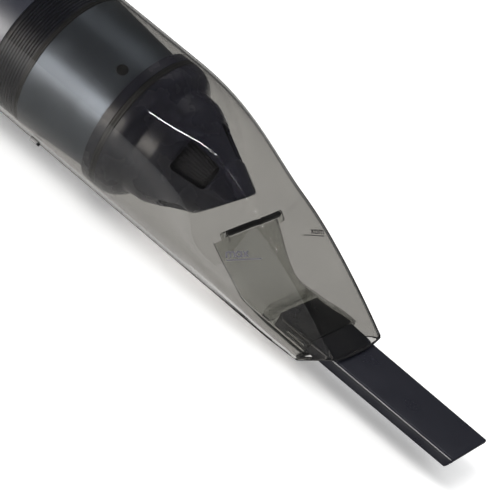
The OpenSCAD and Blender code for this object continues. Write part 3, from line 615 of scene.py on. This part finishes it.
def build_cage():
    count, rings = 192, []
    for k in range(count):
        phi = 2 * pi * k / count
        path = cage_path(phi, 0, 0, 1.8) + cage_path(phi, 2, 2.5, 0.6)[::-1]
        rings.append([(u, r * cos(phi), r * sin(phi)) for u, r in path])
    # The cage takes the lighter copy of the navy gloss, a painted highlight over its own dark navy.
    cage = add("filter_cage_shell", "filter", "navy_gloss", *tube(rings, loop=True), ["filter_cage"],
               sharp=38, look="cage_navy_painted_highlight")
    tilt = atan2(CONE_SLOPE, 1) * 180 / pi
    cuts = []
    for i in range(4):
        # The two upper windows reach further forward, as the face leans
        ahead = 13.5 if i in (0, 3) else 5.5
        for grow, depth in ((1.4, -0.8), (0.0, -12.0)):
            plan = [(-10 - grow, -10.5 - grow), (ahead + grow, -8 - grow), (ahead + grow, 8 + grow),
                    (-10 - grow, 10.5 + grow)]
            mesh = turned(prism("", plan, depth, 12, "xy", 3.0), tilt, axis="Y")
            mesh = moved(mesh, (49.5, 0, NOSE_R + CONE_SLOPE * (NOSE_TIP - 49.5)))
            cuts.append(turned(mesh, 60 + 90 * i))
    groove = spin([(2, 43.8), (6, 43.8), (6, 46), (2, 46)])
    cut(cage, cuts + [tube(groove, loop=True)], 38)


build_cage()


def build_filter():
    """Pleated filter inside the cage."""
    profile = soften([(0, 31.4), (25, 31.4), (57, 15.5), (60, 9), (60, 7.5), (56, 14), (24.4, 29.9),
                      (0, 29.9)], 0.6, 2)
    count, rings = 240, []
    for k in range(count):
        phi = 2 * pi * k / count
        fold = 0.45 * abs(sin(phi * 30)) - 0.45
        rings.append([(u, (r + fold * clamp(r / 20)) * cos(phi), (r + fold * clamp(r / 20)) * sin(phi))
                      for u, r in profile])
    add("filter_pleats", "filter", "filter_mesh", *tube(rings, loop=True), ["filter_sleeve"], sharp=60)


build_filter()
lathe("cage_seal_ring", "filter", "black_rubber",
      soften([(2.1, 43.9), (5.9, 43.9), (5.7, 45.1), (4.7, 45.1), (4, 44.7), (3.3, 45.1), (2.3, 45.1)],
             0.3, 3),
      ["cage_seal"])


# ---------- Barrel between the bowl and the motor ----------

SLEEVE_R, BARREL_R, COLLAR_FRONT, COLLAR_REAR = 41.0, 45.3, -56.0, -84.0


def build_sleeve():
    sleeve = lathe("snout_sleeve_shell", "body", "satin_metallic", soften([
        (COLLAR_FRONT, BARREL_R), (-6, SLEEVE_R, 3), (-4.4, SLEEVE_R - 0.6, 1), (5, SLEEVE_R - 0.8, 0.4),
        (5, SLEEVE_R - 2.6, 0.3), (-6, SLEEVE_R - 2.6), (COLLAR_FRONT, BARREL_R - 2.2)], 0.2, 4),
        ["snout_sleeve"])
    studs, bores = [], []
    for i in range(3):
        for r, low, high, lip, into in ((3.5, 38.6, 42.0, 0.35, studs), (3.55, 37, 45, 0, bores)):
            into.append(turned(prism("", circle(-14.5, 0, r), low, high, "xy", 0, lip), 39 + 120 * i))
    cut(sleeve, bores)
    add("bayonet_stud_pegs", "body", "black_plastic", *join(*studs), ["bayonet_studs"])


build_sleeve()


def build_collar():
    profile = [(COLLAR_REAR, BARREL_R - 3.3, 0.2), (COLLAR_REAR, BARREL_R - 0.3, 0.5)]
    pitch, count = 1.9, 10
    for i in range(count - 1, -1, -1):
        g = COLLAR_FRONT - 5 - i * pitch
        profile += [(g - 0.02, BARREL_R, 0.42), (g + 0.16, BARREL_R - 0.8, 0.1),
                    (g + 0.74, BARREL_R - 0.8, 0.1), (g + 0.92, BARREL_R, 0.42)]
    profile += [(COLLAR_FRONT - 3, BARREL_R, 0.3), (COLLAR_FRONT - 3, BARREL_R - 1.8, 0.1),
                (COLLAR_FRONT, BARREL_R - 1.8, 0.2), (COLLAR_FRONT, BARREL_R - 3.3, 0.2)]
    collar = lathe("ribbed_collar_band", "body", "navy_matte", soften(profile, 0.2, 3), ["ribbed_collar"])
    cut(collar, [slab((COLLAR_REAR - 1, -5.2, BARREL_R - 5), (COLLAR_FRONT - 13, 5.2, BARREL_R + 2),
                      0.6, 0)])
    lathe("collar_seal_ring", "body", "black_rubber", soften([
        (-58.9, 43.6), (-56.1, 43.6), (-56.2, 45.5), (-57, 45.5), (-57.5, 45.1), (-58, 45.5), (-58.8, 45.5)],
        0.3, 3), ["collar_seal"])


build_collar()


# ---------- Fill marks ----------

LEVEL = Vector((0.78, 0.625))  # level line when the nozzle points down, as (station, height)


def wall_y(u, z):
    """How far out the wall of the bowl is, at a station and height."""
    low, high = -1.3, 1.3
    for _ in range(40):
        a = (low + high) / 2
        if bowl_at(u, a)[2] < z:
            low = a
        else:
            high = a
    return bowl_at(u, low)[1]


def arc(cx, cy, r, a0, a1, steps=14):
    turns = [radians(a0 + (a1 - a0) * k / steps) for k in range(steps + 1)]
    return [(cx + r * cos(a), cy + r * sin(a)) for a in turns]


# Strokes of the generic word at the highest level, in units of the height of a letter
STROKES = [
    [(0, 0), (0, 0.5), (0, 1.0)],
    arc(0.34, 0.62, 0.34, 180, 0) + [(0.68, 0.3), (0.68, 0)],
    arc(1.02, 0.62, 0.34, 180, 0) + [(1.36, 0.3), (1.36, 0)],
    arc(2.12, 0.48, 0.44, 0, 360, 22),
    [(2.58, 0), (2.58, 0.5), (2.58, 0.96)],
    [(2.95, 0), (3.35, 0.5), (3.75, 1.0)],
    [(2.95, 1.0), (3.35, 0.5), (3.75, 0)],
]


def build_mark(side, start_u, start_z, size):
    across = Vector((-LEVEL.y, LEVEL.x))
    along = LEVEL if side < 0 else -LEVEL
    parts = []
    lines = [([(x * size, y * size) for x, y in st], 0.13 * size) for st in STROKES]
    lines.append(([(k * size * 0.55, -0.42 * size) for k in range(12)], 0.10 * size))
    for pts, half in lines:
        rings = []
        for i, q in enumerate(pts):
            a, b = Vector(pts[max(i - 1, 0)]), Vector(pts[min(i + 1, len(pts) - 1)])
            d = (b - a).normalized()
            n = Vector((-d.y, d.x))
            ring = []
            for k, h in ((-half, 0.03), (half, 0.03), (half, 0.12), (-half, 0.12)):
                w = Vector(q) + n * k
                at = Vector((start_u, start_z)) + along * w.x + across * w.y
                ring.append((at.x, side * (wall_y(at.x, at.y) + h), at.y))
            rings.append(ring)
        parts.append(tube(rings))
    add("fill_mark_" + ("near" if side < 0 else "far"), "bowl", "black_plastic", *join(*parts),
        look="print_grey")


build_mark(-1, 99, -12.5, 3.3)
build_mark(1, 119, 3.0, 2.6)


# ---------- Housing, tail and handle ----------

HOUSING = [(-80.5, 47.6), (-82.5, 48), (-130, 48), (-148, 47.2), (-165, 45.4), (-182, 42.8),
           (-198, 39.8), (-214, 36)]
TAIL = [(-214, 36), (-220, 33.8), (-226, 30.4), (-231, 25.6), (-233.6, 20.4), (-235, 15)]
SCREWS, WALL = [(-104, -30), (-206, -25)], 2.2
SEAM = 0.0022  # half the gap between the two shells, in radians


def grown(points, t):
    return [(u, r + t) for u, r in points]


def rear_solid(t):
    """The whole rear body, for trimming what stands on it."""
    skin = soften(grown(HOUSING + TAIL[1:], t), 60, 6, closed=False)
    return tube(spin([(-80.5, 0)] + skin + [(-235, 0)], 120), loop=True)


def pipe(x, z, r_out, r_in, y0, y1):
    rings = [[(a, y, b) for a, b in circle(x, z, r, 32)]
             for r, y in ((r_out, y0), (r_out, y1), (r_in, y1), (r_in, y0))]
    return tube(rings, loop=True)


def build_housing():
    for side, name in ((1, "left"), (-1, "right")):
        rings, count = [], 100
        for k in range(count + 3):
            f = clamp((k - 1) / count)
            edge = k in (0, count + 2)
            a = -pi / 2 + pi * f + (SEAM if k < count / 2 else -SEAM) * (1 if edge else 4)
            groove = 0.4 if edge else 0.0
            outer = soften(grown(HOUSING, -groove), 60, 5, closed=False)
            inner = grown(HOUSING, -WALL)[::-1]
            rings.append([(u, side * r * cos(a), r * sin(a)) for u, r in outer + inner])
        shell = add("housing_shell_" + name, "body", "navy_matte", *tube(rings), ["housing_" + name],
                    sharp=30)
        grille = sorted((side * 20, side * 60))
        cuts = [slab((-97.3, -8.3, 38), (-85.7, 8.3, 60), 2.2, 0),
                slab((-142, grille[0], -12), (-106, grille[1], 12), 2.5, 0, "xz"),
                slab((-86, -5.2, 38), (-78, 5.2, 45.7), 0.5, 0)]
        if side < 0:
            cuts += [wheel(x, z, 4, -60, -26, 40, 0) for x, z in SCREWS]
            cuts += [wheel(x, z, 1.55, -60, 0, 24, 0) for x, z in SCREWS]
        cut(shell, cuts, 30)
        add("housing_bosses_" + name, "body", "navy_matte", *join(
            *[pipe(x, z, 4, 1.55, *sorted((side * 0.1, side * 26))) for x, z in SCREWS]))
        plate, rise = [], 11.9 / 47.6
        for k in range(31):
            a = atan2(rise, sqrt(1 - rise * rise)) * (2 * k / 30 - 1)
            plate.append([(u, side * r * cos(a), r * sin(a)) for u, r in
                          ((-141.9, 45.8), (-141.9, 47.2), (-141.5, 47.6), (-106.5, 47.6), (-106.1, 47.2),
                           (-106.1, 45.8))])
        vent = add("exhaust_grille_" + name, "body", "black_plastic", *tube(plate),
                   ["exhaust_grilles"] if side > 0 else [], sharp=30)
        cut(vent, [slab((-139 + 4.7 * i, grille[0], -9), (-136.4 + 4.7 * i, grille[1], 9), 1.25, 0, "xz")
                   for i in range(7)], 30)


build_housing()
lathe("tail_cap_shell", "body", "navy_matte", soften(
    [(-214.1, 36, 0.3)] + [(u, r, 30) for u, r in TAIL[1:5]]
    + [(-235, 15, 1.5), (-235, 5.2, 0.4), (-232, 5.2, 0.2), (-232, 14), (-229.6, 23.2), (-224.6, 28),
       (-218.6, 31.4), (-214.1, 33.6)], 0.2, 5), ["tail_cap"])

POST_FRONT, POST_REAR, BEND, GRIP_RISE, GRIP_HALF_W, GRIP_HALF_T = -115, -211, 21, 86, 13, 11


def arch_path(with_posts):
    """(station, height, outward station, outward height) along the handle, front to rear."""
    top = GRIP_RISE - BEND
    out = [(POST_FRONT, 20 + (top - 20) * k / 6, 1, 0) for k in range(6)] if with_posts else []
    for k in range(19):
        b = pi / 2 * k / 18
        out.append((POST_FRONT - BEND + BEND * cos(b), top + BEND * sin(b), cos(b), sin(b)))
    out += [(POST_FRONT - BEND + (POST_REAR - POST_FRONT + 2 * BEND) * k / 28, GRIP_RISE, 0, 1)
            for k in range(1, 28)]
    for k in range(19):
        b = pi / 2 * k / 18
        out.append((POST_REAR + BEND - BEND * sin(b), top + BEND * cos(b), -sin(b), cos(b)))
    return out + ([(POST_REAR, top - (top - 20) * k / 6, -1, 0) for k in range(1, 7)] if with_posts else [])


def power(v):
    """Makes the section of the grip a little squarer than an ellipse."""
    return abs(v) ** 0.85 * (1 if v >= 0 else -1)


def grip_point(at, a, grow, side=1, least=0.0):
    out, across = (GRIP_HALF_T + grow) * power(cos(a)), (GRIP_HALF_W + grow) * power(sin(a))
    u, z, du, dz = at
    return (u + du * out, side * max(across, least) if least else side * across, z + dz * out)


def build_handle():
    for side, name in ((1, "left"), (-1, "right")):
        rings = []
        for at in arch_path(True):
            ring = []
            for k in range(-1, 42):
                a = pi * clamp(k / 40)
                edge = k in (-1, 41)
                ring.append(grip_point(at, a, -0.35 if edge else 0, side, 0.08 if edge else 0.3))
            rings.append(ring)
        half = add("handle_shell_" + name, "body", "navy_matte", *tube(rings), ["handle_" + name],
                   sharp=36)
        cuts = [rear_solid(0.1), slab((-158.5, -6.3, 92.4), (-137, 6.3, 106), 1.6, 0),
                slab((-159, -5, 81), (-136.5, 5, 92.5), 0.5, 0),
                prism("", circle(-172, 0, 2.5), GRIP_RISE, 116)]
        for x, z in ((-115, 60), (-211, 60)):
            cuts.append(wheel(x, z, 1.55, -30, 9, 28, 0))
            if side < 0:
                cuts.append(wheel(x, z, 3.4, -40, -9, 40, 0))
        cut(half, cuts, 36)


build_handle()


def build_pad():
    rings, path = [], arch_path(False)
    for i, at in enumerate(path):
        ribs = 0.35 * (0.5 + 0.5 * cos(2 * pi * i / 2.0)) if 18 < i < len(path) - 19 else 0.15
        end = 0.8 if i in (0, len(path) - 1) else 0.0
        angles = [radians(120 + 120 * k / 20) for k in range(21)]
        outer = [grip_point(at, a, 1.6 - ribs * sin(pi * clamp(k / 20)) - end - (0.7 if k in (0, 20) else 0))
                 for k, a in enumerate(angles)]
        inner = [grip_point(at, a, 0.05) for a in angles[::-1]]
        rings.append(outer + inner)
    add("grip_pad_soft", "body", "black_rubber", *tube(rings), ["grip_pad"], sharp=50)


build_pad()
feet = [prism("", circle(-172, y, 7, 48), -48, -33, "xy", 0, 0.7) for y in (-17, 17)]
cut(add("rubber_foot_pads", "body", "black_rubber", *join(*feet), ["rubber_feet"]), [rear_solid(0.05)])


# ---------- Button and switch ----------

COIL_R, WIRE_R, COIL_TURNS, COIL_STEPS = 2.6, 0.35, 4, 24
COIL_FOOT, COIL_RISE = 37.85, 4.2


def build_spring():
    """Coil under the release button, with a mesh of its own. On the real thing it shortens as the button goes
    down; here it is built at one length.
    """
    rings = []
    for i in range(COIL_TURNS * COIL_STEPS + 1):
        a = 2 * pi * i / COIL_STEPS
        h = COIL_FOOT + COIL_RISE * i / (COIL_TURNS * COIL_STEPS)
        rings.append([(-91.5 + (COIL_R + WIRE_R * cos(w)) * cos(a), (COIL_R + WIRE_R * cos(w)) * sin(a),
                       h + WIRE_R * sin(w)) for w in (2 * pi * k / 10 for k in range(10))])
    coil = add("button_spring_coil", "button", "steel", *tube(rings), ["button_spring"], sharp=60)
    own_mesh(coil)


build_spring()
button = [slab((-96.9, -7.9, 44.4), (-86.1, 7.9, 49.5), 2.0, 0.7),
          slab((-86.2, -4.4, 42.6), (-71, 4.4, 44.6), 0.5, 0.2),
          slab((-76, -3.8, 44.5), (-72, 3.8, 45.6), 0.5, 0.2),
          slab((-94, -4.4, 42.6), (-86.0, 4.4, 44.5), 0.5, 0.2)]
button += [slab((-94.6 + 2.4 * i, -5.2, 49.3), (-93.5 + 2.4 * i, 5.2, 50), 0.5, 0.25) for i in range(4)]
add("release_button_cap", "button", "button_grey", *join(*button), ["release_button"], sharp=40)
TOP = GRIP_RISE + GRIP_HALF_T
switch = [slab((-158, -5.9, TOP - 4.4), (-145, 5.9, TOP + 0.4), 1.4, 0.5)]
switch += [slab((-156.6 + 3 * i, -5, TOP + 0.2), (-155.2 + 3 * i, 5, TOP + 1.3), 0.6, 0.4)
           for i in range(4)]
add("power_switch_slider", "switch", "switch_red", *join(*switch), ["power_switch"], sharp=40)


# ---------- Floor, light, camera ----------

FLOOR_HALF, FLOOR_Z = 6000, -48.2


def build_floor():
    floor = add("floor", None, None,
                [(x * FLOOR_HALF, y * FLOOR_HALF, FLOOR_Z) for x, y in ((-1, -1), (1, -1), (1, 1), (-1, 1))],
                [(0, 1, 2, 3)])
    m, tree, out, coords = start("floor_paint")
    link = tree.links.new
    p = node_of(tree, "ShaderNodeBsdfPrincipled", Roughness=0.8)
    p.inputs["Specular IOR Level"].default_value = 0.2
    n = noise(tree, coords, 3.0)
    shade = node_of(tree, "ShaderNodeMix")
    shade.data_type = "RGBA"
    shade.inputs["A"].default_value = (0.86, 0.86, 0.86, 1)
    shade.inputs["B"].default_value = (0.90, 0.90, 0.90, 1)
    link(n.outputs["Fac"], shade.inputs["Factor"])
    link(shade.outputs["Result"], p.inputs["Base Color"])
    glow = node_of(tree, "ShaderNodeEmission", Strength=0.25)
    glow.inputs["Color"].default_value = (1, 1, 1, 1)
    rays = node_of(tree, "ShaderNodeLightPath")
    both = node_of(tree, "ShaderNodeAddShader")
    link(p.outputs["BSDF"], both.inputs[0])
    link(glow.outputs["Emission"], both.inputs[1])
    # In the gloss of the object the floor is dark behind and pale in front. Through the clear bowl it
    # is white near the object and fades further out, where only the walls' own reflections reach it
    low = node_of(tree, "ShaderNodeEmission")
    low.inputs["Color"].default_value = (1, 1, 1, 1)
    split = node_of(tree, "ShaderNodeSeparateXYZ")
    fade = node_of(tree, "ShaderNodeMapRange", From_Min=-0.06, From_Max=-0.24, To_Min=0.03, To_Max=1.0)
    link(coords.outputs["Object"], split.inputs["Vector"])
    link(split.outputs["Y"], fade.inputs["Value"])
    link(fade.outputs["Result"], low.inputs["Strength"])
    even = node_of(tree, "ShaderNodeEmission")
    even.inputs["Color"].default_value = (1, 1, 1, 1)
    span = node_of(tree, "ShaderNodeVectorMath")
    span.operation = "LENGTH"
    far = node_of(tree, "ShaderNodeMapRange", From_Min=0.45, From_Max=1.1, To_Min=1.0, To_Max=0.05)
    link(coords.outputs["Object"], span.inputs[0])
    link(span.outputs["Value"], far.inputs["Value"])
    link(far.outputs["Result"], even.inputs["Strength"])
    shader = both.outputs["Shader"]
    for ray, other in (("Is Glossy Ray", low.outputs["Emission"]),
                       ("Is Transmission Ray", even.outputs["Emission"])):
        mix = node_of(tree, "ShaderNodeMixShader")
        link(rays.outputs[ray], mix.inputs["Fac"])
        link(shader, mix.inputs[1])
        link(other, mix.inputs[2])
        shader = mix.outputs["Shader"]
    link(shader, out.inputs["Surface"])
    floor.data.materials.append(m)


build_floor()


def lamp(name, place, aim, size, power, tone=(1, 1, 1)):
    data = bpy.data.lights.new(name, "AREA")
    data.shape, data.energy, data.color = "RECTANGLE", power, tone
    data.size, data.size_y = size
    ob = bpy.data.objects.new(name, data)
    scene.collection.objects.link(ob)
    ob.location = place
    ob.rotation_euler = (Vector(aim) - Vector(place)).to_track_quat("-Z", "Y").to_euler()
    ob.visible_transmission = False
    return ob


AIM = (0.05, 0, 0.05)
for args in (("key_soft", (-0.4, -0.7, 1.7), AIM, (1.3, 1.0), 20, (1.0, 0.99, 0.97)),
             ("back_soft", (0.5, 1.4, 1.0), AIM, (1.6, 0.35), 10, (0.96, 0.98, 1.0)),
             ("side_fill", (1.6, -0.7, 0.7), AIM, (0.8, 1.2), 6)):
    lamp(*args).visible_glossy = False
# Lamps that only the gloss of the object shows, each on some pieces only
INNER = bpy.data.collections.new("gloss_inner")
OUTER = bpy.data.collections.new("gloss_outer")
for ob in scene.objects:
    if ob.type == "MESH":
        outer = ob.name in ("bowl_clear", "inlet_duct_clear", "fill_mark_near", "fill_mark_far")
        (OUTER if outer else INNER).objects.link(ob)
for takers, args in (
        (INNER, ("band_panel", (-0.38, -1.55, 0.17), AIM, (1.6, 0.28), 55.0, (1.0, 0.98, 0.95))),
        (INNER, ("streak_strip", (-0.42, 0.56, 1.49), AIM, (1.6, 0.06), 5.0, (0.96, 0.98, 1.0))),
        (OUTER, ("glint", (0.10, -1.04, 1.10), (0.01, -0.038, 0.0775), (0.7, 0.014), 3.5))):
    light = lamp(*args)
    light.visible_diffuse = False
    light.light_linking.receiver_collection = takers

world = bpy.data.worlds.new("studio")
world.use_nodes = True
scene.world = world
wt = world.node_tree
wt.nodes.clear()
sky = node_of(wt, "ShaderNodeBackground", Strength=0.6)
dim = node_of(wt, "ShaderNodeBackground", Strength=0.07)
rays, pick = node_of(wt, "ShaderNodeLightPath"), node_of(wt, "ShaderNodeMixShader")
for shader in (sky, dim):
    shader.inputs["Color"].default_value = (1, 1, 1, 1)
# Seen from above, a ray through the clear walls meets the sky only after a reflection
either = node_of(wt, "ShaderNodeMath")
either.operation = "MAXIMUM"
wt.links.new(rays.outputs["Is Glossy Ray"], either.inputs[0])
wt.links.new(rays.outputs["Is Transmission Ray"], either.inputs[1])
wt.links.new(either.outputs[0], pick.inputs["Fac"])
wt.links.new(sky.outputs["Background"], pick.inputs[1])
wt.links.new(dim.outputs["Background"], pick.inputs[2])
wt.links.new(pick.outputs["Shader"], node_of(wt, "ShaderNodeOutputWorld").inputs["Surface"])

# The view looks along -BACK at TARGET, with RIGHT towards the right of the picture
RIGHT, BACK = Vector((0.728, 0.527, 0.437)), Vector((0.309, -0.822, 0.477))
TARGET, DISTANCE = Vector((0.0734, 0.0169, 0.0192)), 1.5
view_data = bpy.data.cameras.new("view")
view_data.lens, view_data.sensor_width = 188, 36
view_ob = bpy.data.objects.new("view", view_data)
scene.collection.objects.link(view_ob)
BACK.normalize()
RIGHT = (RIGHT - BACK * RIGHT.dot(BACK)).normalized()
UP = BACK.cross(RIGHT)
facing = Matrix((RIGHT, UP, BACK)).transposed().to_4x4()
view_ob.matrix_world = Matrix.Translation(TARGET + BACK * DISTANCE) @ facing
scene.camera = view_ob
